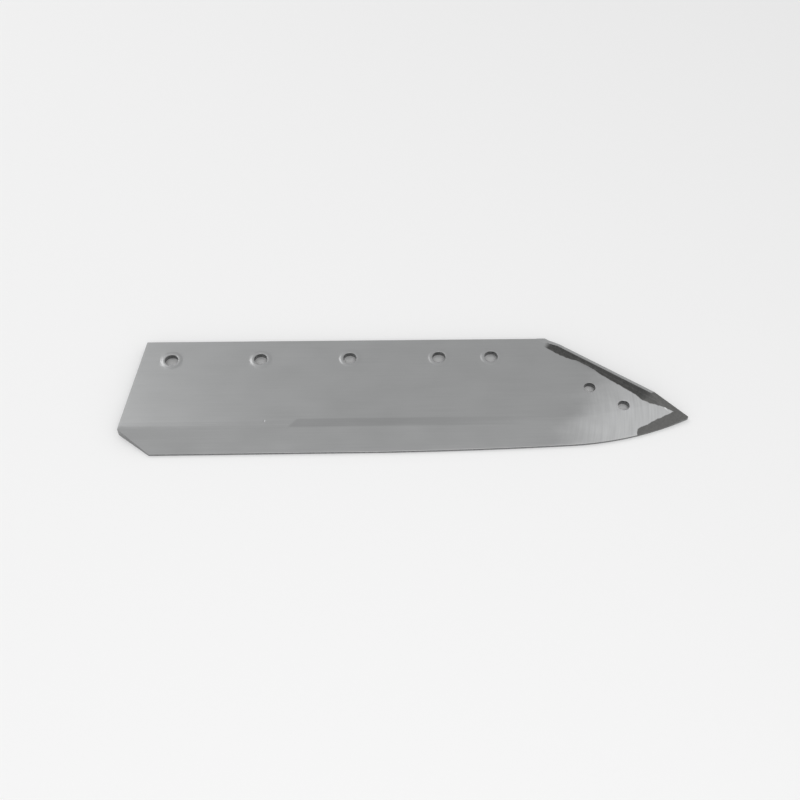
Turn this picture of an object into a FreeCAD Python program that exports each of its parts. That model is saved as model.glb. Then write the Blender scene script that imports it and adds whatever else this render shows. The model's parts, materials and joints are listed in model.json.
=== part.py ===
"""Plough share with a swept nose, a landside gunnel and a struck point.

The share lies on its flat front face.  +X runs along the bolt row from the heel
to the point, +Y from the cutting edge to the bolt row, +Z up out of the back
face.  Every sketch is drawn from the bolt hole nearest the heel, and the
finished body is then moved to the middle of its own base.
"""
import FreeCAD, Part
import math
import os

import Sketcher

OUTPUT_FOLDER = "parts"
SHARE = "plough_share"

# Driving dimensions, in millimetres, degrees and plain counts.
DIMENSIONS = {
    # Blank: one flat bar, sheared to outline.
    "blank_thickness": 10.0,
    "bolt_margin_heel": 24.2,    # bolt row to the top edge, at the heel
    "bolt_margin_point": 22.9,   # bolt row to the top edge, at the landside corner
    "edge_drop": 110.0,          # bolt row to the straight cutting edge
    "heel_margin": 27.0,         # first bolt back to the top heel corner
    "heel_reach": 45.0,          # first bolt back to the lower heel corner
    "heel_drop": 84.5,           # bolt row to the lower heel corner
    "corner_margin": 13.0,       # first bolt back to the start of the cutting edge
    "top_length": 379.4,         # first bolt forward to the landside corner
    "landside_angle": 35.9,      # landside edge down from the bolt row
    "sweep_start": 177.0,        # first bolt to the end of the straight edge
    "sweep_radius": 4430.0,      # long easy curve of the cutting edge
    "nose_lead": 15.6,           # landside corner forward to the start of the nose curve
    "nose_radius": 303.0,
    "corner_round": 0.8,         # plan corners
    # Cutting edge, drawn thin from the back.
    "bevel_width": 28.0,
    "edge_thickness": 2.8,
    # Gunnel along the landside edge.
    "gunnel_land": 3.3,          # width of its ground top
    "gunnel_start_rise": 0.4,    # above the back face, at its low start
    "gunnel_low_start": 4.5,     # landside corner to the foot of the ramp
    "gunnel_ramp": 10.5,         # length of the ramp up to the full rib
    "gunnel_rise_corner": 2.5,   # full rib above the back face, carried back to the corner
    "gunnel_rise_point": 4.4,    # above the back face, where the struck point starts
    "gunnel_wall_slope": 62.0,   # inner wall, up from the back face
    "gunnel_root_radius": 2.4,
    # Struck point: one plane through the gunnel, the cutting edge and the tip.
    "point_on_gunnel": 125.4,    # landside corner to its start on the gunnel
    "point_lead": 78.6,          # landside corner forward to its start on the cutting edge
    "edge_run_out": 12.0,        # before that start, where the bevel leaves the edge straight on
    "tip_thickness": 3.9,
    # Frog bolts: a row on one pitch and a last one closer to the point.
    "bolt_pitch": 90.0,
    "bolt_row_count": 4,
    "bolt_last_gap": 52.9,
    "bolt_hole": 13.4,
    "bolt_head_seat": 24.5,
    "lip_diameter": 22.0,        # metal raised round each punched hole
    "lip_crest_diameter": 16.0,
    "lip_height": 0.7,
    # Point bolts, on a line parallel to the landside edge.
    "tip_bolt_hole": 11.5,
    "tip_bolt_head_seat": 20.0,
    "tip_bolt_inset": 28.5,      # in from the landside edge
    "tip_bolt_start": 69.0,      # along it, from the landside corner
    "tip_bolt_pitch": 38.5,
    "head_seat_angle": 90.0,
}

# How far the bar stock and the tools reach past the metal that they cut, in millimetres.
BAR_MARGIN = 30.0
SHEAR_MARGIN = 150.0
WEDGE_MARGIN = 5.0
GUNNEL_MARGIN = 10.0
DIE_REACH = 120.0                # from the struck plane's origin, each way
EDGE_RUN_ON = 90.0               # of the bevelling wedge, past where it leaves the edge

SAME_PLACE = 0.01                # millimetres; closer than this counts as touching
MOSTLY_ALONG = 0.8               # share of an edge's length that makes it run that way
ROOT_ZONE = 5.0                  # the gunnel's foot lies within this many land widths
STEEL_DENSITY = 7.85e-6          # kg per cubic millimetre


def make_sheet(doc):
    sheet = doc.addObject("Spreadsheet::Sheet", "sizes")
    for row, (alias, value) in enumerate(DIMENSIONS.items(), start=1):
        sheet.set("A%d" % row, alias)
        sheet.set("B%d" % row, str(value))
        sheet.setAlias("B%d" % row, alias)
    doc.recompute()
    return sheet


def origin_plane(body, role):
    return [feature for feature in body.Origin.OriginFeatures if feature.Role == role][0]


def new_sketch(body, name, role, offset=None):
    """A sketch on one of the body's origin planes; offset is a placement expression."""
    sketch = body.newObject("Sketcher::SketchObject", name)
    sketch.AttachmentSupport = [(origin_plane(body, role), "")]
    sketch.MapMode = "FlatFace"
    if offset:
        sketch.setExpression("AttachmentOffset", offset)
    return sketch


def line(sketch, start, end):
    return sketch.addGeometry(Part.LineSegment(FreeCAD.Vector(*start), FreeCAD.Vector(*end)))


def arc(sketch, centre, radius, start_angle, end_angle):
    circle = Part.Circle(FreeCAD.Vector(*centre), FreeCAD.Vector(0, 0, 1), radius)
    return sketch.addGeometry(Part.ArcOfCircle(circle, start_angle, end_angle))


def dimension(sketch, kind, geometry, expression):
    """A named, sheet-bound dimension: geometry is what follows the kind in a constraint."""
    index = sketch.addConstraint(Sketcher.Constraint(kind, *geometry))
    sketch.setExpression("Constraints[%d]" % index, expression)
    return index


def at_x(sketch, element, point, expression, value):
    """Holds a point at a signed distance right of the sketch's origin."""
    dimension(sketch, "DistanceX", (-1, 1, element, point, value), expression)


def at_y(sketch, element, point, expression, value):
    """Holds a point at a signed distance above the sketch's origin."""
    dimension(sketch, "DistanceY", (-1, 1, element, point, value), expression)


def measure(sketch, name, kind, element, point):
    """A named reference dimension, from the sketch's origin, that other objects read."""
    index = sketch.addConstraint(Sketcher.Constraint(kind, -1, 1, element, point, 1.0))
    sketch.setDriving(index, False)
    sketch.renameConstraint(index, name)


def polygon(sketch, corners):
    """A closed loop of lines; each corner is (x, y, x expression, y expression)."""
    count = len(corners)
    first = None
    for index in range(count):
        here = corners[index][:2]
        after = corners[(index + 1) % count][:2]
        element = line(sketch, here + (0,), after + (0,))
        first = element if first is None else first
    for index in range(count):
        after = first + (index + 1) % count
        sketch.addConstraint(Sketcher.Constraint("Coincident", first + index, 2, after, 1))
    for index, (x, y, x_expression, y_expression) in enumerate(corners):
        at_x(sketch, first + index, 1, x_expression, x)
        at_y(sketch, first + index, 1, y_expression, y)


def edge_angles():
    """Direction of the cutting edge where sweep and nose meet, and the nose's centre."""
    d = DIMENSIONS
    nose_start = d["top_length"] + d["nose_lead"]
    meet = math.asin((nose_start - d["sweep_start"]) / d["sweep_radius"])
    nose_x = nose_start - d["nose_radius"] * math.sin(meet)
    meet_y = -d["edge_drop"] + d["sweep_radius"] * (1 - math.cos(meet))
    nose_y = meet_y + d["nose_radius"] * math.cos(meet)
    return meet, nose_x, nose_y


def tip_angle():
    """Direction of the nose curve where it runs into the landside edge."""
    d = DIMENSIONS
    meet, nose_x, nose_y = edge_angles()
    slope = math.radians(d["landside_angle"])
    to_x = nose_x - d["top_length"]
    to_y = nose_y - d["bolt_margin_point"]
    along = to_x * math.cos(slope) - to_y * math.sin(slope)
    across = to_x * math.sin(slope) + to_y * math.cos(slope)
    reach = along + math.sqrt(d["nose_radius"] ** 2 - across ** 2)
    tip_x = d["top_length"] + reach * math.cos(slope)
    return math.asin((tip_x - nose_x) / d["nose_radius"])


def cutting_edge(sketch, start_x, start_expression, nose_end_angle):
    """Straight edge, easy sweep and nose curve, from start_x towards the point.

    Returns the straight line (whose first point is its heel end) and the nose
    arc (whose second point is its point end).
    """
    d = DIMENSIONS
    meet, nose_x, nose_y = edge_angles()
    down = -math.pi / 2
    low = -d["edge_drop"]
    straight = line(sketch, (start_x, low, 0), (d["sweep_start"], low, 0))
    sweep_centre = (d["sweep_start"], low + d["sweep_radius"], 0)
    sweep = arc(sketch, sweep_centre, d["sweep_radius"], down, down + meet)
    nose = arc(sketch, (nose_x, nose_y, 0), d["nose_radius"], down + meet, down + nose_end_angle)
    sketch.addConstraint(Sketcher.Constraint("Horizontal", straight))
    sketch.addConstraint(Sketcher.Constraint("Tangent", straight, 2, sweep, 1))
    sketch.addConstraint(Sketcher.Constraint("Tangent", sweep, 2, nose, 1))
    dimension(sketch, "Radius", (sweep, d["sweep_radius"]), "sizes.sweep_radius")
    dimension(sketch, "Radius", (nose, d["nose_radius"]), "sizes.nose_radius")
    at_x(sketch, straight, 1, start_expression, start_x)
    at_x(sketch, straight, 2, "sizes.sweep_start", d["sweep_start"])
    at_y(sketch, straight, 2, "-sizes.edge_drop", low)
    at_x(sketch, nose, 1, "sizes.top_length + sizes.nose_lead", d["top_length"] + d["nose_lead"])
    return straight, nose


def outline(sketch):
    """The share's plan: top edge, landside edge, cutting edge, corner cut and heel."""
    d = DIMENSIONS
    straight, nose = cutting_edge(sketch, -d["corner_margin"], "-sizes.corner_margin", tip_angle())
    meet, nose_x, nose_y = edge_angles()
    tip = (nose_x + d["nose_radius"] * math.sin(tip_angle()),
           nose_y - d["nose_radius"] * math.cos(tip_angle()), 0)
    heel_top = (-d["heel_margin"], d["bolt_margin_heel"], 0)
    heel_low = (-d["heel_reach"], -d["heel_drop"], 0)
    landside_corner = (d["top_length"], d["bolt_margin_point"], 0)
    top = line(sketch, heel_top, landside_corner)
    landside = line(sketch, landside_corner, tip)
    corner_cut = line(sketch, (-d["corner_margin"], -d["edge_drop"], 0), heel_low)
    heel = line(sketch, heel_low, heel_top)
    for first, first_point, second, second_point in (
            (top, 2, landside, 1), (landside, 2, nose, 2), (straight, 1, corner_cut, 1),
            (corner_cut, 2, heel, 1), (heel, 2, top, 1)):
        sketch.addConstraint(
            Sketcher.Constraint("Coincident", first, first_point, second, second_point))
    at_x(sketch, top, 1, "-sizes.heel_margin", -d["heel_margin"])
    at_y(sketch, top, 1, "sizes.bolt_margin_heel", d["bolt_margin_heel"])
    at_x(sketch, top, 2, "sizes.top_length", d["top_length"])
    at_y(sketch, top, 2, "sizes.bolt_margin_point", d["bolt_margin_point"])
    at_x(sketch, heel, 1, "-sizes.heel_reach", -d["heel_reach"])
    at_y(sketch, heel, 1, "-sizes.heel_drop", -d["heel_drop"])
    dimension(sketch, "Angle", (landside, math.radians(-d["landside_angle"])),
              "-sizes.landside_angle * 1 deg")
    point_start = d["top_length"] + d["point_lead"]
    drop = math.sqrt(d["nose_radius"] ** 2 - (point_start - nose_x) ** 2)
    start = sketch.addGeometry(Part.Point(FreeCAD.Vector(point_start, nose_y - drop, 0)), True)
    sketch.addConstraint(Sketcher.Constraint("PointOnObject", start, 1, nose))
    at_x(sketch, start, 1, "sizes.top_length + sizes.point_lead", point_start)
    measure(sketch, "point_y", "DistanceY", start, 1)
    measure(sketch, "tip_x", "DistanceX", nose, 2)
    measure(sketch, "tip_y", "DistanceY", nose, 2)


def finish_feature(doc, body, feature):
    """Makes a feature the body's tip and stops the build if it failed."""
    body.Tip = feature
    doc.recompute()
    if "Invalid" in feature.State or "Error" in feature.State or feature.Shape.isNull():
        raise RuntimeError("%s failed: %s" % (feature.Name, feature.State))
    return feature


def cut(doc, body, feature):
    """Finishes a feature that takes metal away, and proves that it did."""
    before = body.Shape.Volume
    finish_feature(doc, body, feature)
    if not body.Shape.Volume < before - 1.0:
        raise RuntimeError("%s removed nothing" % feature.Name)
    return feature


def grow(doc, body, feature):
    """Finishes a feature that adds metal, and proves that it did."""
    before = body.Shape.Volume
    finish_feature(doc, body, feature)
    if not body.Shape.Volume > before + 1.0:
        raise RuntimeError("%s added nothing" % feature.Name)
    return feature


def rectangle_around(sketch, margin):
    """A rectangle that holds the share's plan with a margin all round."""
    d = DIMENSIONS
    left = -d["heel_reach"] - margin
    right = d["top_length"] + d["nose_radius"] / 2 + margin
    low = -d["edge_drop"] - margin
    high = d["bolt_margin_heel"] + margin
    left_x = "-sizes.heel_reach - %g" % margin
    right_x = "sizes.top_length + sizes.nose_radius / 2 + %g" % margin
    low_y = "-sizes.edge_drop - %g" % margin
    high_y = "sizes.bolt_margin_heel + %g" % margin
    polygon(sketch, [(left, low, left_x, low_y), (right, low, right_x, low_y),
                     (right, high, right_x, high_y), (left, high, left_x, high_y)])


def add_bar(doc, body):
    """Flat bar stock, larger all round than the share."""
    sketch = new_sketch(body, "bar_section", "XY_Plane")
    rectangle_around(sketch, BAR_MARGIN)
    bar = body.newObject("PartDesign::Pad", "bar")
    bar.Profile = sketch
    bar.setExpression("Length", "sizes.blank_thickness")
    finish_feature(doc, body, bar)


def add_edge_bevel(doc, body):
    """The thin cutting edge: a wedge swept along it, and straight on before the point."""
    d = DIMENSIONS
    start = -d["heel_reach"] - 2 * BAR_MARGIN
    start_expression = "-sizes.heel_reach - %g" % (2 * BAR_MARGIN)
    meet, nose_x, nose_y = edge_angles()
    leave = d["top_length"] + d["point_lead"] - d["edge_run_out"]
    end_angle = math.asin((leave - nose_x) / d["nose_radius"])
    path = new_sketch(body, "edge_path", "XY_Plane")
    straight, nose = cutting_edge(path, start, start_expression, end_angle)
    at_x(path, nose, 2, "sizes.top_length + sizes.point_lead - sizes.edge_run_out", leave)
    nose_end = (nose_x + d["nose_radius"] * math.sin(end_angle),
                nose_y - d["nose_radius"] * math.cos(end_angle), 0)
    far = (nose_end[0] + EDGE_RUN_ON * math.cos(end_angle),
           nose_end[1] + EDGE_RUN_ON * math.sin(end_angle), 0)
    tail = line(path, nose_end, far)
    path.addConstraint(Sketcher.Constraint("Tangent", nose, 2, tail, 1))
    dimension(path, "Distance", (tail, EDGE_RUN_ON), "%g" % EDGE_RUN_ON)

    wedge = new_sketch(
        body, "edge_wedge", "YZ_Plane",
        "placement(vector(0; 0; %s); rotation(0; 0; 0))" % start_expression)
    slope = "(sizes.blank_thickness - sizes.edge_thickness) / sizes.bevel_width"
    fall = WEDGE_MARGIN * (d["blank_thickness"] - d["edge_thickness"]) / d["bevel_width"]
    low_y = -d["edge_drop"] - WEDGE_MARGIN
    high_y = -d["edge_drop"] + d["bevel_width"]
    top_z = d["blank_thickness"] + BAR_MARGIN
    low_expression = "-sizes.edge_drop - %g" % WEDGE_MARGIN
    high_expression = "-sizes.edge_drop + sizes.bevel_width"
    top_expression = "sizes.blank_thickness + %g" % BAR_MARGIN
    polygon(wedge, [
        (low_y, d["edge_thickness"] - fall, low_expression,
         "sizes.edge_thickness - %g * %s" % (WEDGE_MARGIN, slope)),
        (high_y, d["blank_thickness"], high_expression, "sizes.blank_thickness"),
        (high_y, top_z, high_expression, top_expression),
        (low_y, top_z, low_expression, top_expression)])
    bevel = body.newObject("PartDesign::SubtractivePipe", "edge_bevel")
    bevel.Profile = wedge
    bevel.Spine = path
    cut(doc, body, bevel)


def landside_frame(station):
    """Placement of a sketch across the landside edge, station millimetres from its corner.

    Its x axis points out of the share and its y axis up.
    """
    angle = "sizes.landside_angle * 1 deg"
    return ("placement(vector(sizes.bolt_margin_point - (%s) * sin(%s); 0;"
            " sizes.top_length + (%s) * cos(%s));"
            " rotation(vector(0; 1; 0); -sizes.landside_angle))"
            % (station, angle, station, angle))


def add_gunnel(doc, body):
    """Rib forged up along the landside edge, its section carried along the rise of its top.

    The section starts before the landside corner and runs on past the tip.  It
    reaches below the front face, which is trimmed flat again afterwards.
    """
    d = DIMENSIONS
    climb = (d["gunnel_rise_point"] - d["gunnel_rise_corner"]) / d["point_on_gunnel"]
    climb_expression = ("(sizes.gunnel_rise_point - sizes.gunnel_rise_corner)"
                        " / sizes.point_on_gunnel")
    wall = math.tan(math.radians(d["gunnel_wall_slope"]))
    base = -2 * d["gunnel_rise_point"]
    base_expression = "-2 * sizes.gunnel_rise_point"
    top = d["blank_thickness"] + d["gunnel_rise_corner"] - BAR_MARGIN * climb
    top_expression = ("sizes.blank_thickness + sizes.gunnel_rise_corner - %g * %s"
                      % (BAR_MARGIN, climb_expression))
    foot = -d["gunnel_land"] - (top - base) / wall
    foot_expression = ("-sizes.gunnel_land - (%s - %s) / tan(sizes.gunnel_wall_slope * 1 deg)"
                       % (top_expression, base_expression))
    section = new_sketch(body, "gunnel_section", "YZ_Plane", landside_frame("%g" % -BAR_MARGIN))
    polygon(section, [
        (GUNNEL_MARGIN, base, "%g" % GUNNEL_MARGIN, base_expression),
        (GUNNEL_MARGIN, top, "%g" % GUNNEL_MARGIN, top_expression),
        (-d["gunnel_land"], top, "-sizes.gunnel_land", top_expression),
        (foot, base, foot_expression, base_expression)])
    gunnel = body.newObject("PartDesign::Pad", "gunnel")
    gunnel.Profile = section
    gunnel.UseCustomVector = True
    gunnel.setExpression("Direction.x", "cos(sizes.landside_angle * 1 deg)")
    gunnel.setExpression("Direction.y", "-sin(sizes.landside_angle * 1 deg)")
    gunnel.setExpression("Direction.z", climb_expression)
    gunnel.setExpression("Length", "sizes.point_on_gunnel * 2 + %g" % (2 * BAR_MARGIN))
    grow(doc, body, gunnel)

    flash = new_sketch(body, "front_face", "XY_Plane")
    rectangle_around(flash, SHEAR_MARGIN)
    trim = body.newObject("PartDesign::Pocket", "front_trim")
    trim.Profile = flash
    trim.Type = "ThroughAll"
    cut(doc, body, trim)


def shear_to_outline(doc, body):
    """Everything outside the share's plan is sheared off."""
    scrap = new_sketch(body, "share_outline", "XY_Plane")
    outline(scrap)
    rectangle_around(scrap, SHEAR_MARGIN)
    shear = body.newObject("PartDesign::Pocket", "shear")
    shear.Profile = scrap
    shear.Type = "ThroughAll"
    shear.Midplane = True
    cut(doc, body, shear)


def along_and_in(point):
    """A point's distance along the landside edge from its corner, and in from it."""
    d = DIMENSIONS
    slope = math.radians(d["landside_angle"])
    x = point.x - d["top_length"]
    y = point.y - d["bolt_margin_point"]
    along = x * math.cos(slope) - y * math.sin(slope)
    return along, -x * math.sin(slope) - y * math.cos(slope)


def root_edges(shape):
    """The edges where the gunnel's inner wall meets the back face and the edge bevel."""
    d = DIMENSIONS
    found = []
    for index, edge in enumerate(shape.Edges, start=1):
        if len(edge.Vertexes) != 2:
            continue
        ends = [vertex.Point for vertex in edge.Vertexes]
        places = [along_and_in(end) for end in ends]
        runs_along = abs(places[1][0] - places[0][0]) > MOSTLY_ALONG * edge.Length
        inside = min(place[1] for place in places) > d["gunnel_land"] + SAME_PLACE
        low = max(end.z for end in ends) < d["blank_thickness"] + SAME_PLACE
        off_floor = min(end.z for end in ends) > SAME_PLACE
        near = max(place[1] for place in places) < ROOT_ZONE * d["gunnel_land"]
        if runs_along and inside and low and off_floor and near:
            found.append("Edge%d" % index)
    return found


def add_root_fillet(doc, body):
    """The forging radius at the foot of the gunnel."""
    base = body.Tip
    fillet = body.newObject("PartDesign::Fillet", "gunnel_root")
    fillet.Base = (base, root_edges(base.Shape))
    fillet.setExpression("Radius", "sizes.gunnel_root_radius")
    grow(doc, body, fillet)


def round_corners(doc, body):
    """The plan corners are eased where the shear left them sharp."""
    d = DIMENSIONS
    corners = [
        (-d["heel_margin"], d["bolt_margin_heel"]),
        (-d["heel_reach"], -d["heel_drop"]),
        (-d["corner_margin"], -d["edge_drop"]),
        (d["top_length"], d["bolt_margin_point"]),
        (doc.share_outline.getDatum("tip_x").Value, doc.share_outline.getDatum("tip_y").Value)]
    base = body.Tip
    found = []
    for index, edge in enumerate(base.Shape.Edges, start=1):
        ends = [vertex.Point for vertex in edge.Vertexes]
        upright = len(ends) == 2 and math.dist(ends[0][:2], ends[1][:2]) < SAME_PLACE
        if upright and any(math.dist(corner, ends[0][:2]) < SAME_PLACE for corner in corners):
            found.append("Edge%d" % index)
    fillet = body.newObject("PartDesign::Fillet", "corner_rounds")
    fillet.Base = (base, found)
    fillet.setExpression("Radius", "sizes.corner_round")
    cut(doc, body, fillet)


def place_point(body, name, x, y, z):
    """A construction point held by three expressions."""
    point = body.newObject("PartDesign::Point", name)
    point.AttachmentSupport = [(origin_plane(body, "XY_Plane"), "")]
    point.MapMode = "ObjectOrigin"
    point.setExpression(
        "AttachmentOffset", "placement(vector(%s; %s; %s); rotation(0; 0; 0))" % (x, y, z))
    return point


def lower_gunnel_start(doc, body):
    """The rib starts low at the landside corner and climbs a short ramp to full height."""
    d = DIMENSIONS
    back = -2 * BAR_MARGIN
    start = d["gunnel_low_start"]
    past = start + 2 * d["gunnel_ramp"]
    low = d["blank_thickness"] + d["gunnel_start_rise"]
    high = low + 2 * (d["gunnel_rise_corner"] - d["gunnel_start_rise"])
    back_expression = "%g" % back
    past_expression = "sizes.gunnel_low_start + 2 * sizes.gunnel_ramp"
    low_expression = "sizes.blank_thickness + sizes.gunnel_start_rise"
    high_expression = ("%s + 2 * (sizes.gunnel_rise_corner - sizes.gunnel_start_rise)"
                       % low_expression)
    side = new_sketch(
        body, "gunnel_start_side", "XZ_Plane",
        "placement(vector(sizes.top_length; 0; -sizes.bolt_margin_point);"
        " rotation(vector(0; 1; 0); -sizes.landside_angle))")
    polygon(side, [(back, low, back_expression, low_expression),
                   (start, low, "sizes.gunnel_low_start", low_expression),
                   (past, high, past_expression, high_expression),
                   (back, high, back_expression, high_expression)])
    ramp = body.newObject("PartDesign::Pocket", "gunnel_ramp")
    ramp.Profile = side
    ramp.Type = "ThroughAll"
    ramp.Midplane = True
    cut(doc, body, ramp)


def strike_point(doc, body):
    """The point is struck down to one plane, through the gunnel, the edge and the tip."""
    angle = "sizes.landside_angle * 1 deg"
    on_gunnel = place_point(
        body, "point_on_gunnel",
        "sizes.top_length + sizes.point_on_gunnel * cos(%s)" % angle,
        "sizes.bolt_margin_point - sizes.point_on_gunnel * sin(%s)" % angle,
        "sizes.blank_thickness + sizes.gunnel_rise_point")
    run_out_rise = ("sizes.edge_run_out ^ 2 / (2 * sizes.nose_radius)"
                    " * (sizes.blank_thickness - sizes.edge_thickness) / sizes.bevel_width")
    on_edge = place_point(
        body, "point_on_edge", "sizes.top_length + sizes.point_lead",
        "share_outline.Constraints.point_y", "sizes.edge_thickness + %s" % run_out_rise)
    at_tip = place_point(
        body, "point_at_tip", "share_outline.Constraints.tip_x",
        "share_outline.Constraints.tip_y", "sizes.tip_thickness")
    die = body.newObject("PartDesign::Plane", "die_face")
    die.AttachmentSupport = [(on_gunnel, ""), (on_edge, ""), (at_tip, "")]
    die.MapMode = "ThreePointsPlane"
    doc.recompute()
    sketch = body.newObject("Sketcher::SketchObject", "die_outline")
    sketch.AttachmentSupport = [(die, "")]
    sketch.MapMode = "FlatFace"
    polygon(sketch, [(x, y, "%g" % x, "%g" % y)
                     for x, y in ((-DIE_REACH, -DIE_REACH), (DIE_REACH, -DIE_REACH),
                                  (DIE_REACH, DIE_REACH), (-DIE_REACH, DIE_REACH))])
    strike = body.newObject("PartDesign::Pocket", "struck_point")
    strike.Profile = sketch
    strike.Type = "ThroughAll"
    strike.Reversed = True
    cut(doc, body, strike)


def add_lip(doc, body):
    """Low ring of metal raised on the back face round the first bolt hole."""
    d = DIMENSIONS
    outer = d["lip_diameter"] / 2
    inner = d["lip_crest_diameter"] - outer
    crest = d["lip_crest_diameter"] / 2
    half_width = outer - crest
    radius = (half_width ** 2 + d["lip_height"] ** 2) / (2 * d["lip_height"])
    half_expression = "((sizes.lip_diameter - sizes.lip_crest_diameter) / 2)"
    radius_expression = ("(%s ^ 2 + sizes.lip_height ^ 2) / (2 * sizes.lip_height)"
                         % half_expression)
    inner_expression = "sizes.lip_crest_diameter - sizes.lip_diameter / 2"
    face = d["blank_thickness"]
    root = face - d["lip_height"]
    sketch = new_sketch(body, "lip_section", "XZ_Plane")
    left = line(sketch, (inner, face, 0), (inner, root, 0))
    bottom = line(sketch, (inner, root, 0), (outer, root, 0))
    right = line(sketch, (outer, root, 0), (outer, face, 0))
    spread = math.asin(half_width / radius)
    crown = arc(sketch, (crest, face + d["lip_height"] - radius, 0), radius,
                math.pi / 2 - spread, math.pi / 2 + spread)
    for first, first_point, second, second_point in (
            (left, 2, bottom, 1), (bottom, 2, right, 1), (right, 2, crown, 1),
            (crown, 2, left, 1)):
        sketch.addConstraint(
            Sketcher.Constraint("Coincident", first, first_point, second, second_point))
    sketch.addConstraint(Sketcher.Constraint("Vertical", right))
    at_x(sketch, left, 1, inner_expression, inner)
    at_y(sketch, left, 1, "sizes.blank_thickness", face)
    at_x(sketch, left, 2, inner_expression, inner)
    at_y(sketch, left, 2, "sizes.blank_thickness - sizes.lip_height", root)
    at_x(sketch, right, 2, "sizes.lip_diameter / 2", outer)
    at_y(sketch, right, 2, "sizes.blank_thickness", face)
    at_y(sketch, right, 1, "sizes.blank_thickness - sizes.lip_height", root)
    dimension(sketch, "Radius", (crown, radius), radius_expression)
    lip = body.newObject("PartDesign::Revolution", "hole_lip")
    lip.Profile = sketch
    lip.ReferenceAxis = (sketch, ["V_Axis"])
    grow(doc, body, lip)
    return lip


def drill(doc, body, name, centres, diameter, seat):
    """Bolt holes from the front face, sunk there for the bolt heads.

    centres holds (x, y, x expression, y expression) for each hole.
    """
    sketch = new_sketch(body, name + "_centres", "XY_Plane")
    radius = DIMENSIONS[diameter] / 2
    for x, y, x_expression, y_expression in centres:
        circle = sketch.addGeometry(
            Part.Circle(FreeCAD.Vector(x, y, 0), FreeCAD.Vector(0, 0, 1), radius))
        dimension(sketch, "Radius", (circle, radius), "sizes.%s / 2" % diameter)
        at_x(sketch, circle, 3, x_expression, x)
        at_y(sketch, circle, 3, y_expression, y)
    doc.recompute()
    hole = body.newObject("PartDesign::Hole", name)
    hole.Profile = sketch
    hole.Reversed = True
    hole.DepthType = "ThroughAll"
    hole.setExpression("Diameter", "sizes.%s" % diameter)
    hole.HoleCutType = "Countersink"
    hole.HoleCutCustomValues = True
    hole.setExpression("HoleCutDiameter", "sizes.%s" % seat)
    hole.setExpression("HoleCutCountersinkAngle", "sizes.head_seat_angle")
    cut(doc, body, hole)
    return hole


def repeat(doc, body, name, originals, length, occurrences):
    """Copies of features along the bolt row, both numbers given as expressions."""
    copies = body.newObject("PartDesign::LinearPattern", name)
    copies.Originals = originals
    copies.Direction = (originals[-1].Profile[0], ["H_Axis"])
    copies.setExpression("Length", length)
    copies.setExpression("Occurrences", occurrences)
    cut(doc, body, copies)


def point_bolt_centre(index):
    """Where a point bolt stands, counted from the landside corner."""
    d = DIMENSIONS
    slope = math.radians(d["landside_angle"])
    along = d["tip_bolt_start"] + index * d["tip_bolt_pitch"]
    x = d["top_length"] + along * math.cos(slope) - d["tip_bolt_inset"] * math.sin(slope)
    y = d["bolt_margin_point"] - along * math.sin(slope) - d["tip_bolt_inset"] * math.cos(slope)
    angle = "sizes.landside_angle * 1 deg"
    station = "(sizes.tip_bolt_start + %d * sizes.tip_bolt_pitch)" % index
    return (x, y,
            "sizes.top_length + %s * cos(%s) - sizes.tip_bolt_inset * sin(%s)"
            % (station, angle, angle),
            "sizes.bolt_margin_point - %s * sin(%s) - sizes.tip_bolt_inset * cos(%s)"
            % (station, angle, angle))


def add_bolt_holes(doc, body):
    """Five lipped holes for the frog bolts and two plain ones for a bolt-on point."""
    lip = add_lip(doc, body)
    hole = drill(doc, body, "frog_bolt_hole", [(0.0, 0.0, "0", "0")],
                 "bolt_hole", "bolt_head_seat")
    repeat(doc, body, "frog_bolt_row", [lip, hole],
           "(sizes.bolt_row_count - 1) * sizes.bolt_pitch", "sizes.bolt_row_count")
    repeat(doc, body, "last_frog_bolt", [lip, hole],
           "(sizes.bolt_row_count - 1) * sizes.bolt_pitch + sizes.bolt_last_gap", "2")
    drill(doc, body, "point_bolt_holes", [point_bolt_centre(0), point_bolt_centre(1)],
          "tip_bolt_hole", "tip_bolt_head_seat")


def check_document(doc):
    """Stops the build if anything in the document is in error."""
    for item in doc.Objects:
        if "Invalid" in item.State or "Error" in item.State:
            raise RuntimeError("%s is in error: %s" % (item.Name, item.State))
        if item.isDerivedFrom("PartDesign::Feature") and item.Shape.isNull():
            raise RuntimeError("%s has no shape" % item.Name)


def build():
    doc = FreeCAD.newDocument("share")
    make_sheet(doc)
    body = doc.addObject("PartDesign::Body", SHARE)
    body.Label = SHARE
    add_bar(doc, body)
    add_edge_bevel(doc, body)
    add_gunnel(doc, body)
    shear_to_outline(doc, body)
    add_root_fillet(doc, body)
    lower_gunnel_start(doc, body)
    strike_point(doc, body)
    round_corners(doc, body)
    add_bolt_holes(doc, body)
    box = body.Shape.optimalBoundingBox()
    body.Placement = FreeCAD.Placement(
        FreeCAD.Vector(-box.Center.x, -box.Center.y, -box.ZMin), FreeCAD.Rotation())
    doc.recompute()
    check_document(doc)
    if not body.Shape.isValid() or len(body.Shape.Solids) != 1:
        raise RuntimeError("the share is not one valid solid")
    return body


def report(body):
    """Prints what the record needs: size, volume, mass and the bolt holes."""
    box = body.Shape.optimalBoundingBox()
    volume = body.Shape.Volume
    print("size %.2f x %.2f x %.2f mm" % (box.XLength, box.YLength, box.ZLength))
    print("volume %.0f mm3, mass %.2f kg" % (volume, volume * STEEL_DENSITY))
    for face in body.Shape.Faces:
        if face.Surface.TypeId == "Part::GeomCylinder" and face.Surface.Axis.z ** 2 > MOSTLY_ALONG:
            centre = face.Surface.Center
            print("bore r %.2f at %.3f, %.3f" % (face.Surface.Radius, centre.x, centre.y))


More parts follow.
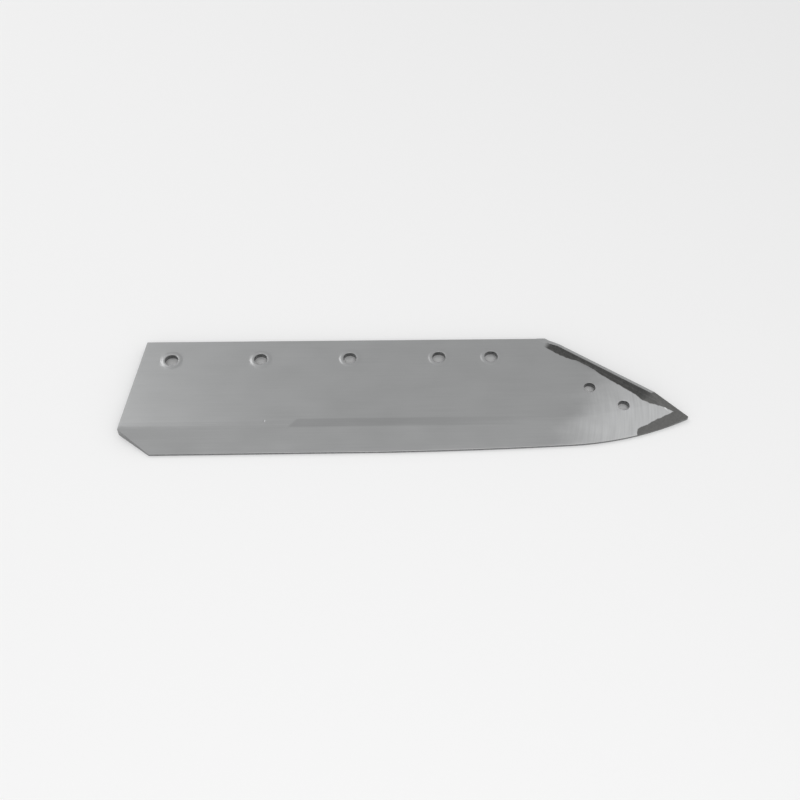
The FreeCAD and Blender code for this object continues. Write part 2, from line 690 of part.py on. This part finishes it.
share = build()
report(share)
os.makedirs(OUTPUT_FOLDER, exist_ok=True)
share.Shape.exportStep(os.path.join(OUTPUT_FOLDER, SHARE + ".step"))
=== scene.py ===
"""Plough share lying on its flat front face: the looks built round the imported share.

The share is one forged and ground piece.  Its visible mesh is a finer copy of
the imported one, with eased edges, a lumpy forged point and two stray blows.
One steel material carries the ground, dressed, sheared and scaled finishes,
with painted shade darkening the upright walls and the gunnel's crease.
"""
import json
import math
from types import SimpleNamespace

import bmesh
import bpy
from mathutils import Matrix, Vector, noise

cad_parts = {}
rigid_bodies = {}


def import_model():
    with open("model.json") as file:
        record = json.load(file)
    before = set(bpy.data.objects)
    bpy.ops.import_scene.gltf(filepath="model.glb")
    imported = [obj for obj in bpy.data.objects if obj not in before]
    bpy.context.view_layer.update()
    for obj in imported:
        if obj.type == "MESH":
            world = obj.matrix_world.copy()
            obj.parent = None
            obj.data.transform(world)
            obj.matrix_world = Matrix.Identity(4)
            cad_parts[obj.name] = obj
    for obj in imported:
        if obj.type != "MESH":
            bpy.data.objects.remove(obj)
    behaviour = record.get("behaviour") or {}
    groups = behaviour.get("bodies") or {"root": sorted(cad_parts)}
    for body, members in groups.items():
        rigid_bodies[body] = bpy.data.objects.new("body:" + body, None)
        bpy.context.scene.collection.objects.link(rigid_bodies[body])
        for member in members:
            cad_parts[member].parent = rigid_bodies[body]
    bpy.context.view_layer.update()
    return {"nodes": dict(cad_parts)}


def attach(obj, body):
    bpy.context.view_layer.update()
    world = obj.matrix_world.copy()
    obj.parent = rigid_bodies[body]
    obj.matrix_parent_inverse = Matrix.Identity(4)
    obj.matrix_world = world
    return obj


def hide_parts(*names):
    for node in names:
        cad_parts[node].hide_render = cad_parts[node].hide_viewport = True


MM = 0.001
NODE = "plough_share"
LANDSIDE_CORNER = Vector((145.54, 65.8, 0.0))   # mm
LANDSIDE_ANGLE = math.radians(35.9)   # landside edge down from the bolt row
POINT_ON_GUNNEL = 125.4               # corner to the start of the struck point, mm


def clear_scene():
    for item in list(bpy.data.objects):
        bpy.data.objects.remove(item)


def srgb(text):
    """A colour written as six hex digits, as linear red, green, blue and alpha."""
    values = [int(text[i:i + 2], 16) / 255 for i in (0, 2, 4)]
    linear = [v / 12.92 if v <= 0.04045 else ((v + 0.055) / 1.055) ** 2.4 for v in values]
    return (*linear, 1.0)


# ---------------------------------------------------------------- mesh

# Windows of finer faces, in mm: low corner, high corner, step.
WINDOWS = (
    ((-282.0, -72.0), (282.0, 72.0), 6.0),     # the whole share
    ((126.0, -72.0), (282.0, 72.0), 2.0),      # the gunnel and the point
    ((-139.0, -38.0), (-134.0, -31.0), 0.5),   # round the first blow
    ((131.5, -4.0), (136.5, 1.0), 0.5),        # round the second blow
)
WINDOW_SLACK = 0.01                   # mm
CUT_SLACK = 1e-7                      # m
# Stray blows on the back face: centre, half length along the share, half width, depth, in mm.
BLOWS = (
    ((-136.8, -34.2), 0.7, 2.2, 0.35),
    ((134.0, -1.6), 1.0, 1.0, 0.3),
)

WELD = 0.002                          # corners nearer than this become one, mm
FLAT = math.radians(0.3)              # faces that meet at less are merged
SHARP = math.radians(28)              # edges that turn by more are eased
EASE = 0.3                            # width taken off each side of an eased edge, mm
EASE_STEPS = 3
SHADED_SHARP = math.radians(32)       # edges that turn by more are shaded sharp

MARKED_TILT = 0.3                     # upward part of the normal, least that takes marks
MARKED_HEIGHT = 1.0                   # lowest place that takes marks, mm
WAVE_DEPTH = 0.05                     # slow waviness of the whole back, mm
WAVE_LENGTH = 55                      # mm
WAVE_SQUEEZE = 1.6                    # how much shorter its waves are across the share
WAVE_SLICE = 4.0                      # where the noise is cut for it
GUNNEL_FOOT = 9                       # in from the landside edge, mm
GUNNEL_TILT = 0.95                    # upward part of the normal, most on the gunnel's wall
POINT_TILT = 0.965                    # and most on the struck point
LUMP_DEPTH = 0.12                     # hammered lumps, mm
LUMP_LENGTH = 5.5                     # mm
SMALL_LUMP_LENGTH = 2.3               # mm
SMALL_LUMP_SHARE = 0.6


def along_and_in(x, y):
    """Distance along the landside edge from its corner, and in from it, in mm."""
    dx = x - LANDSIDE_CORNER.x
    dy = y - LANDSIDE_CORNER.y
    along = dx * math.cos(LANDSIDE_ANGLE) - dy * math.sin(LANDSIDE_ANGLE)
    return along, -dx * math.sin(LANDSIDE_ANGLE) - dy * math.cos(LANDSIDE_ANGLE)


def touches(face, low, high):
    """Whether a face reaches into a window."""
    xs = [v.co.x / MM for v in face.verts]
    ys = [v.co.y / MM for v in face.verts]
    return (max(xs) > low[0] + WINDOW_SLACK and min(xs) < high[0] - WINDOW_SLACK
            and max(ys) > low[1] + WINDOW_SLACK and min(ys) < high[1] - WINDOW_SLACK)


def cut_grid(mesh, low, high, step):
    """Cuts the faces of a window along a square grid, its border first."""
    for axis in (0, 1):
        normal = Vector((1, 0, 0)) if axis == 0 else Vector((0, 1, 0))
        count = round((high[axis] - low[axis]) / step)
        for index in [0, count] + list(range(1, count)):
            place = low[axis] + index * (high[axis] - low[axis]) / count
            geometry = set()
            for face in mesh.faces:
                if touches(face, low, high):
                    geometry.add(face)
                    geometry.update(face.edges)
                    geometry.update(face.verts)
            bmesh.ops.bisect_plane(
                mesh, geom=list(geometry), dist=CUT_SLACK,
                plane_co=normal * place * MM, plane_no=normal)


def hump(value):
    """One at zero, falling smoothly to nothing from one outwards."""
    return (1 - value * value) ** 2 if abs(value) < 1 else 0.0


def relief(place, normal):
    """How far the forging and handling marks lower a point of the back, in mm."""
    x, y, z = place / MM
    if normal.z < MARKED_TILT or z < MARKED_HEIGHT:
        return 0.0
    wave = Vector((x, y * WAVE_SQUEEZE, WAVE_SLICE)) / WAVE_LENGTH
    depth = WAVE_DEPTH * (1 + noise.noise(wave))
    for centre, half_x, half_y, deep in BLOWS:
        depth += deep * hump(math.hypot((x - centre[0]) / half_x, (y - centre[1]) / half_y))
    along, inward = along_and_in(x, y)
    on_gunnel = along > 0 and inward < GUNNEL_FOOT and normal.z < GUNNEL_TILT
    on_point = along > POINT_ON_GUNNEL and normal.z < POINT_TILT
    if on_gunnel or on_point:
        spot = Vector((x, y, z))
        lumps = (noise.noise(spot / LUMP_LENGTH)
                 + SMALL_LUMP_SHARE * noise.noise(spot / SMALL_LUMP_LENGTH))
        depth += LUMP_DEPTH * (1 + max(-1.0, min(1.0, lumps)))
    return depth


def refined_mesh(node):
    """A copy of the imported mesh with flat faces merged, edges eased and finer windows."""
    mesh = bmesh.new()
    mesh.from_mesh(node.data)
    bmesh.ops.remove_doubles(mesh, verts=mesh.verts, dist=WELD * MM)
    bmesh.ops.dissolve_limit(mesh, angle_limit=FLAT, verts=mesh.verts, edges=mesh.edges)
    sharp = [e for e in mesh.edges
             if len(e.link_faces) == 2 and e.calc_face_angle() > SHARP]
    bmesh.ops.bevel(mesh, geom=sharp, offset=EASE * MM, offset_type="OFFSET",
                    segments=EASE_STEPS, profile=0.5, affect="EDGES", clamp_overlap=False)
    for low, high, step in WINDOWS:
        cut_grid(mesh, low, high, step)
    bmesh.ops.triangulate(mesh, faces=mesh.faces)
    mesh.normal_update()
    lowered = [relief(v.co, v.normal) * MM for v in mesh.verts]
    for vertex, fall in zip(mesh.verts, lowered):
        vertex.co.z -= fall
    return mesh


def build_share(node):
    """The visible share, as its own object with even shading on its broad faces."""
    mesh = refined_mesh(node)
    data = bpy.data.meshes.new("ground_share")
    mesh.to_mesh(data)
    mesh.free()
    for polygon in data.polygons:
        polygon.use_smooth = True
    data.set_sharp_from_angle(angle=SHADED_SHARP)
    share = bpy.data.objects.new("ground_share", data)
    bpy.context.scene.collection.objects.link(share)
    weights = share.modifiers.new("even_normals", "WEIGHTED_NORMAL")
    weights.keep_sharp = True
    return share


# ---------------------------------------------------------------- finish

def add_node(tree, kind, links=None, **settings):
    """Adds a node; links maps an input's name or number to an output or a value."""
    node = tree.nodes.new(kind)
    for name, value in settings.items():
        setattr(node, name, value)
    for name, source in (links or {}).items():
        socket = node.inputs[name]
        if isinstance(source, bpy.types.NodeSocket):
            tree.links.new(source, socket)
        else:
            socket.default_value = source
    return node


class Finish:
    """Writes one material's nodes as short sums of named fields."""

    def __init__(self, name):
        self.material = bpy.data.materials.new(name)
        self.material.use_nodes = True
        self.tree = self.material.node_tree
        self.tree.nodes.clear()

    def node(self, kind, links=None, **settings):
        return add_node(self.tree, kind, links, **settings)

    def math(self, operation, first, second=0.0, third=0.0):
        links = {0: first, 1: second, 2: third}
        return self.node("ShaderNodeMath", links, operation=operation).outputs[0]

    def plus(self, base, field, amount):
        """The base with so much of a field added to it."""
        return self.math("ADD", base, self.math("MULTIPLY", field, amount))

    def without(self, mask):
        """Everywhere that the mask isn't."""
        return self.math("SUBTRACT", 1.0, mask)

    def step(self, value, low, high):
        """Rises smoothly from nothing at low to one at high."""
        return self.node("ShaderNodeMapRange", {
            "Value": value, "From Min": low, "From Max": high},
            interpolation_type="SMOOTHSTEP").outputs[0]

    def noise(self, where, scale, detail=3.0, distortion=0.0):
        """Noise about zero, from about minus a half to a half."""
        source = self.node("ShaderNodeTexNoise", {
            "Vector": where, "Scale": scale, "Detail": detail, "Distortion": distortion})
        return self.math("SUBTRACT", source.outputs["Fac"], 0.5)

    def stretch(self, where, x, y, z):
        return self.node("ShaderNodeMapping", {"Vector": where, "Scale": (x, y, z)}).outputs[0]

    def curve(self, value, points, height):
        """A drawn curve through (place, amount) points; height is above every amount."""
        first, last = points[0][0], points[-1][0]
        ratio = self.math("DIVIDE", self.math("SUBTRACT", value, first), last - first)
        node = self.node("ShaderNodeFloatCurve", {"Value": ratio})
        line = node.mapping.curves[0]
        line.points[0].location = (0.0, points[0][1] / height)
        line.points[1].location = (1.0, points[-1][1] / height)
        for place, amount in points[1:-1]:
            line.points.new((place - first) / (last - first), amount / height)
        node.mapping.update()
        return self.math("MULTIPLY", node.outputs[0], height)

    def mix(self, factor, first, second):
        node = self.node("ShaderNodeMix", data_type="RGBA")
        for socket, source in ((node.inputs["Factor"], factor), (node.inputs["A"], first),
                               (node.inputs["B"], second)):
            if isinstance(source, bpy.types.NodeSocket):
                self.tree.links.new(source, socket)
            else:
                socket.default_value = source
        return node.outputs["Result"]

    def blend(self, factor, first, second):
        """A number that goes from first to second as the factor rises."""
        return self.math("MULTIPLY_ADD", factor, self.math("SUBTRACT", second, first), first)


# Edge of the forging scale along the gunnel, which in the gunnel's crease is painted shade as
# well: along the landside edge, in from it, in mm.
SCALE_AND_SHADE_FOOT = ((0.0, 7.0), (15.0, 9.9), (30.0, 9.2), (36.0, 8.2), (43.0, 6.6), (56.0, 6.4),
              (72.0, 8.3), (92.0, 9.2), (110.0, 10.4), (121.0, 12.1), (127.0, 11.6),
              (133.0, 9.2), (144.0, 6.5), (152.0, 4.6))
SCALE_AND_SHADE_FOOT_TOP = 13.0
SCALE_AND_SHADE_START = (3.0, 9.0)              # along the landside edge, where the scale sets in, mm
# Edge of the scale left on the struck point: in from the landside edge, along it, in mm.
SCALE_POINT = ((0.0, 152.0), (5.0, 150.2), (12.0, 146.8), (22.0, 141.3), (33.0, 136.2),
               (38.0, 133.0), (44.0, 131.8), (48.0, 135.0), (56.0, 150.0))
SCALE_POINT_TOP = 153.0
POINT_SCALE_FADE = (118.0, 128.0)     # where the scale pales towards the point, mm
POINT_SCALE_SLANT = 0.4
UPPER_FACES = (-0.2, 0.2)             # upward part of the normal, where scale sets in

LAND_WIDTH = 3.9                      # bare land on the gunnel, mm
LAND_END = POINT_ON_GUNNEL + 0.5      # mm
LAND_END_SLANT = -0.9
LAND_TILT = (0.90, 0.97)              # upward part of the normal, where the land sets in
WALL_TILT = (0.25, 0.5)               # and where the walls end

# Softness of the borders, in mm each side.
FOOT_SOFT = 0.5
POINT_SOFT = 0.4
LAND_SOFT = 0.3
LAND_END_SOFT = 0.5

# Pattern scales are waves to the metre, because the finish reads places in metres.
WOBBLE = 260.0                        # about 4 mm long
CLOUDS = 22.0                         # about 45 mm
SPECKLE = 900.0                       # about 1 mm
FLAKES = 420.0                        # about 2.4 mm
ROLLING = (14, 900, 900)              # streaks about 70 mm long and 1 mm wide
GRINDING = (3, 420, 420)              # lines about 330 mm long and 2.4 mm wide
SHEARING = (500, 500, 30)             # lines about 2 mm wide, up the sheared wall
CLOUD_SQUEEZE = (1.0, 1.8, 1.0)
WOBBLE_WIDTH = 2.4                    # mm
FLAKE_CURL = 0.6

# Band above the bevel: where it starts and ends across the share, in mm.
BAND_LOW = (-42.0, -40.0)
BAND_HIGH = (-33.0, -31.0)
BAND_STEP = (-78.0, -74.0)            # slanting end of the second grind, at the middle
BAND_STEP_SLANT = -0.9
SHALLOW_FADE = (0.0, 140.0)           # along the share, where the shallow part fades, mm

# Dressing of the nose: where it sets in, and the middle that its strokes turn about, in mm.
DRESSING = (165.0, 235.0)
DRESSING_SLANT = -0.55
DRESSING_RAGGED = 60.0
STROKE_MIDDLE_X = 60.0
STROKE_MIDDLE_Y = -20.0
STROKE_SQUASH = 0.9
STROKE_DRIFT = 0.05
STROKES = 0.55                        # strokes to the millimetre

# Brightness of each finish, as linear grey.
GROUND_GREY = 0.40
DRESSED_GREY = 0.62
LAND_GREY = 0.42
# upright faces: the sheared finish, made darker with painted shade as well
SHEARED_AND_SHADED_GREY = 0.26
# near-black of the forging scale; in the gunnel's crease it is painted shade too
SCALE_AND_SHADE_GREY = 0.060
# How much each pattern changes it.
STREAK_SHADE = 0.05
CLOUD_SHADE = 0.05
LINE_SHADE = 0.10
SHALLOW_SHADE = -0.05
STROKE_SHADE = 0.22
LAND_SHADE = 0.25
SHEARED_SHADE = 0.2
FLAKE_SHADE = 0.08
POINT_SCALE_SHADE = 0.06
# Red and green beside blue in the bare steel, and blue beside both in the scale.
BARE_RED = 0.985
BARE_GREEN = 0.995
SCALE_BLUE = 0.97

BARE_ROUGH = 0.38
BARE_ROUGH_CHANGE = 0.10
SCALE_ROUGH = 0.55
SCALE_ROUGH_CHANGE = 0.2
SCALE_DULLS = 0.75                    # how much of the metal the scale hides

# Depth of each pattern in the surface, from hollow to crest, in mm.
STREAK_DEPTH = 0.010
SPECKLE_DEPTH = 0.006
STROKE_DEPTH = 0.05
FLAKE_DEPTH = 0.25


def share_places(f):
    """Where a point of the share lies, in mm, and how squarely its face looks up."""
    where = f.node("ShaderNodeTexCoord").outputs["Object"]
    in_mm = f.stretch(where, 1 / MM, 1 / MM, 1 / MM)
    spot = f.node("ShaderNodeSeparateXYZ", {0: in_mm}).outputs
    turned = f.node("ShaderNodeMapping", {
        "Vector": where, "Location": LANDSIDE_CORNER * MM,
        "Rotation": (0, 0, -LANDSIDE_ANGLE), "Scale": (MM, MM, MM)}, vector_type="TEXTURE")
    edgewise = f.node("ShaderNodeSeparateXYZ", {0: turned.outputs[0]}).outputs
    along = edgewise[0]
    inward = f.math("MULTIPLY", edgewise[1], -1.0)
    normal = f.node("ShaderNodeNewGeometry").outputs["True Normal"]
    facing = f.node("ShaderNodeSeparateXYZ", {0: normal}).outputs[2]
    # Wobble that keeps the borders of the finishes from being ruled lines.
    wobble = f.math("MULTIPLY", f.noise(where, WOBBLE, 4.0), WOBBLE_WIDTH)
    return SimpleNamespace(
        where=where, x=spot[0], y=spot[1], along=along, inward=inward, facing=facing,
        rough_in=f.math("ADD", inward, wobble), rough_along=f.math("ADD", along, wobble))


def bare_land(f, at):
    """The narrow bare land along the top of the gunnel, up to the struck point."""
    end = f.plus(LAND_END, at.inward, LAND_END_SLANT)
    across = f.step(f.math("SUBTRACT", LAND_WIDTH, at.rough_in), -LAND_SOFT, LAND_SOFT)
    past_end = f.step(f.math("SUBTRACT", at.along, end), -LAND_END_SOFT, LAND_END_SOFT)
    land = f.math("MULTIPLY", across, f.without(past_end))
    return f.math("MULTIPLY", land, f.step(at.facing, *LAND_TILT))


def scale_and_crease_shade(f, at, land):
    """The scale left on the gunnel's wall and foot and on the struck point; along the gunnel's
    wall and foot the same near-black is also painted shade in its crease.
    """
    foot = f.curve(at.along, SCALE_AND_SHADE_FOOT, SCALE_AND_SHADE_FOOT_TOP)
    started = f.step(at.rough_along, *SCALE_AND_SHADE_START)
    inside = f.step(f.math("SUBTRACT", foot, at.rough_in), -FOOT_SOFT, FOOT_SOFT)
    band = f.math("MULTIPLY", started, inside)
    point_edge = f.curve(at.inward, SCALE_POINT, SCALE_POINT_TOP)
    point = f.step(f.math("SUBTRACT", at.rough_along, point_edge), -POINT_SOFT, POINT_SOFT)
    scale = f.math("MULTIPLY", f.math("MAXIMUM", band, point), f.without(land))
    return f.math("MULTIPLY", scale, f.step(at.facing, *UPPER_FACES))


def band_above_bevel(f, at):
    """The band's two parts: the one ground a second time, and the shallow one."""
    band = f.math("MULTIPLY", f.step(at.y, *BAND_LOW), f.without(f.step(at.y, *BAND_HIGH)))
    behind_step = f.without(f.step(f.plus(at.x, at.y, BAND_STEP_SLANT), *BAND_STEP))
    shallow = f.math("MULTIPLY", band, f.without(behind_step))
    shallow = f.math("MULTIPLY", shallow, f.without(f.step(at.x, *SHALLOW_FADE)))
    return f.math("MULTIPLY", band, behind_step), shallow


def dressed_nose(f, at, clouds):
    """Where a disc dressed the nose, and the close curved strokes that it left."""
    reach = f.plus(at.x, at.y, DRESSING_SLANT)
    dressed = f.step(f.plus(reach, clouds, DRESSING_RAGGED), *DRESSING)
    across = f.math("SUBTRACT", at.x, STROKE_MIDDLE_X)
    up = f.math("MULTIPLY", f.math("ADD", at.y, -STROKE_MIDDLE_Y), STROKE_SQUASH)
    squares = f.math("ADD", f.math("MULTIPLY", across, across), f.math("MULTIPLY", up, up))
    drift = f.math("MULTIPLY", at.y, STROKE_DRIFT)
    strokes_at = f.node("ShaderNodeCombineXYZ", {0: f.math("SQRT", squares), 1: drift})
    return dressed, f.noise(strokes_at.outputs[0], STROKES, 4.0)


def finish_steel():
    """Ground and forged steel: grey metal with long soft streaks, brighter where a disc
    dressed the nose, and nearly black and dull where the forge's scale is left.
    Painted shade darkens every upright wall on top of its sheared finish, and the
    near-black along the gunnel's crease is painted shade as well as scale."""
    f = Finish("share_steel")
    at = share_places(f)
    land = bare_land(f, at)
    # scale mask: the forging scale, and painted shade in the gunnel's crease
    scale = scale_and_crease_shade(f, at, land)
    # upright walls, hole walls too: the sheared finish plus painted shade darkening every
    # upright face
    sheared_and_shaded_walls = f.without(f.step(f.math("ABSOLUTE", at.facing), *WALL_TILT))

    streaks = f.noise(f.stretch(at.where, *ROLLING), 1.0, 5.0)
    lines = f.noise(f.stretch(at.where, *GRINDING), 1.0, 2.0)
    clouds = f.noise(f.stretch(at.where, *CLOUD_SQUEEZE), CLOUDS, 4.0)
    speckle = f.noise(at.where, SPECKLE, 4.0)
    flakes = f.noise(at.where, FLAKES, 5.0, FLAKE_CURL)
    sheared = f.noise(f.stretch(at.where, *SHEARING), 1.0)
    second_grind, shallow = band_above_bevel(f, at)
    dressed, strokes = dressed_nose(f, at, clouds)

    grey = f.plus(GROUND_GREY, streaks, STREAK_SHADE)
    grey = f.plus(grey, clouds, CLOUD_SHADE)
    grey = f.plus(grey, f.math("MULTIPLY", lines, second_grind), LINE_SHADE)
    grey = f.plus(grey, shallow, SHALLOW_SHADE)
    grey = f.blend(dressed, grey, f.plus(DRESSED_GREY, strokes, STROKE_SHADE))
    grey = f.blend(land, grey, f.plus(LAND_GREY, speckle, LAND_SHADE))
    grey = f.blend(sheared_and_shaded_walls, grey, f.plus(SHEARED_AND_SHADED_GREY, sheared, SHEARED_SHADE))
    bare = f.node("ShaderNodeCombineColor", {
        0: f.math("MULTIPLY", grey, BARE_RED),
        1: f.math("MULTIPLY", grey, BARE_GREEN), 2: grey}).outputs[0]

    near_point = f.step(f.plus(at.along, at.rough_in, POINT_SCALE_SLANT), *POINT_SCALE_FADE)
    # colour of the scale, and of the painted shade in the gunnel's crease
    dark_grey = f.plus(SCALE_AND_SHADE_GREY, flakes, FLAKE_SHADE)
    dark_grey = f.plus(dark_grey, near_point, POINT_SCALE_SHADE)
    dark = f.node("ShaderNodeCombineColor", {
        0: dark_grey, 1: dark_grey, 2: f.math("MULTIPLY", dark_grey, SCALE_BLUE)}).outputs[0]

    rough = f.plus(BARE_ROUGH, f.math("ADD", streaks, clouds), BARE_ROUGH_CHANGE)
    rough = f.blend(scale, rough, f.plus(SCALE_ROUGH, flakes, SCALE_ROUGH_CHANGE))
    metal = f.without(f.math("MULTIPLY", scale, SCALE_DULLS))

    height = f.plus(f.math("MULTIPLY", streaks, STREAK_DEPTH), speckle, SPECKLE_DEPTH)
    height = f.plus(height, f.math("MULTIPLY", strokes, dressed), STROKE_DEPTH)
    height = f.plus(height, f.math("MULTIPLY", flakes, scale), FLAKE_DEPTH)
    bump = f.node("ShaderNodeBump", {"Strength": 1.0, "Distance": MM, "Height": height})
    surface = f.node("ShaderNodeBsdfPrincipled", {
        "Base Color": f.mix(scale, bare, dark), "Metallic": metal, "Roughness": rough,
        "Normal": bump.outputs["Normal"]})
    f.node("ShaderNodeOutputMaterial", {"Surface": surface.outputs["BSDF"]})
    return f.material


# ---------------------------------------------------------------- studio

FLOOR_HALF = 6.0                      # m
FLOOR_COLOUR = "f4f4f4"
FLOOR_ROUGH = 0.9
WORLD_STRENGTH = 0.72

CAMERA_AZIMUTH = math.radians(-0.877)
CAMERA_ELEVATION = math.radians(53)
CAMERA_TARGET = Vector((-3.857, -3.099, 0.0))   # mm
CAMERA_DISTANCE = 1245                # mm
CAMERA_LENS = 56.25                   # mm
CAMERA_SENSOR = 36.0                  # mm
CAMERA_CLIP = 0.05                    # m


def plain_material(name, colour, roughness):
    material = bpy.data.materials.new(name)
    material.use_nodes = True
    surface = material.node_tree.nodes["Principled BSDF"]
    surface.inputs["Base Color"].default_value = colour
    surface.inputs["Roughness"].default_value = roughness
    return material


def add_floor():
    data = bpy.data.meshes.new("floor")
    half = FLOOR_HALF
    data.from_pydata([(-half, -half, 0.0), (half, -half, 0.0),
                      (half, half, 0.0), (-half, half, 0.0)], [], [(0, 1, 2, 3)])
    floor = bpy.data.objects.new("floor", data)
    bpy.context.scene.collection.objects.link(floor)
    data.materials.append(plain_material("floor_paper", srgb(FLOOR_COLOUR), FLOOR_ROUGH))


def add_lamp(name, place, size, power):
    """An area lamp that looks at the middle of the share; metres and watts."""
    data = bpy.data.lights.new(name, "AREA")
    data.shape = "RECTANGLE"
    data.size, data.size_y = size
    data.energy = power
    lamp = bpy.data.objects.new(name, data)
    lamp.location = place
    lamp.rotation_euler = (-Vector(place)).to_track_quat("-Z", "Y").to_euler()
    bpy.context.scene.collection.objects.link(lamp)


def add_world():
    world = bpy.data.worlds.new("studio")
    bpy.context.scene.world = world
    world.use_nodes = True
    background = world.node_tree.nodes["Background"]
    background.inputs["Color"].default_value = (1, 1, 1, 1)
    background.inputs["Strength"].default_value = WORLD_STRENGTH


def add_camera():
    across = math.cos(CAMERA_ELEVATION)
    back = Vector((math.sin(CAMERA_AZIMUTH) * across,
                   -math.cos(CAMERA_AZIMUTH) * across, math.sin(CAMERA_ELEVATION)))
    data = bpy.data.cameras.new("camera")
    data.lens = CAMERA_LENS
    data.sensor_width = CAMERA_SENSOR
    data.clip_start = CAMERA_CLIP
    camera = bpy.data.objects.new("camera", data)
    camera.location = CAMERA_TARGET * MM + back * CAMERA_DISTANCE * MM
    camera.rotation_euler = (-back).to_track_quat("-Z", "Y").to_euler()
    bpy.context.scene.collection.objects.link(camera)
    bpy.context.scene.camera = camera


clear_scene()
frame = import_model()

share = build_share(frame["nodes"][NODE])
share.data.materials.append(finish_steel())
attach(share, "root")
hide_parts(NODE)

add_floor()
add_lamp("front_key", place=(0.1, -1.5, 1.9), size=(0.9, 0.7), power=14.0)
add_lamp("back_left", place=(-1.5, 1.2, 1.7), size=(1.2, 1.0), power=8.0)
add_world()
add_camera()
bpy.context.scene.view_settings.view_transform = "Standard"
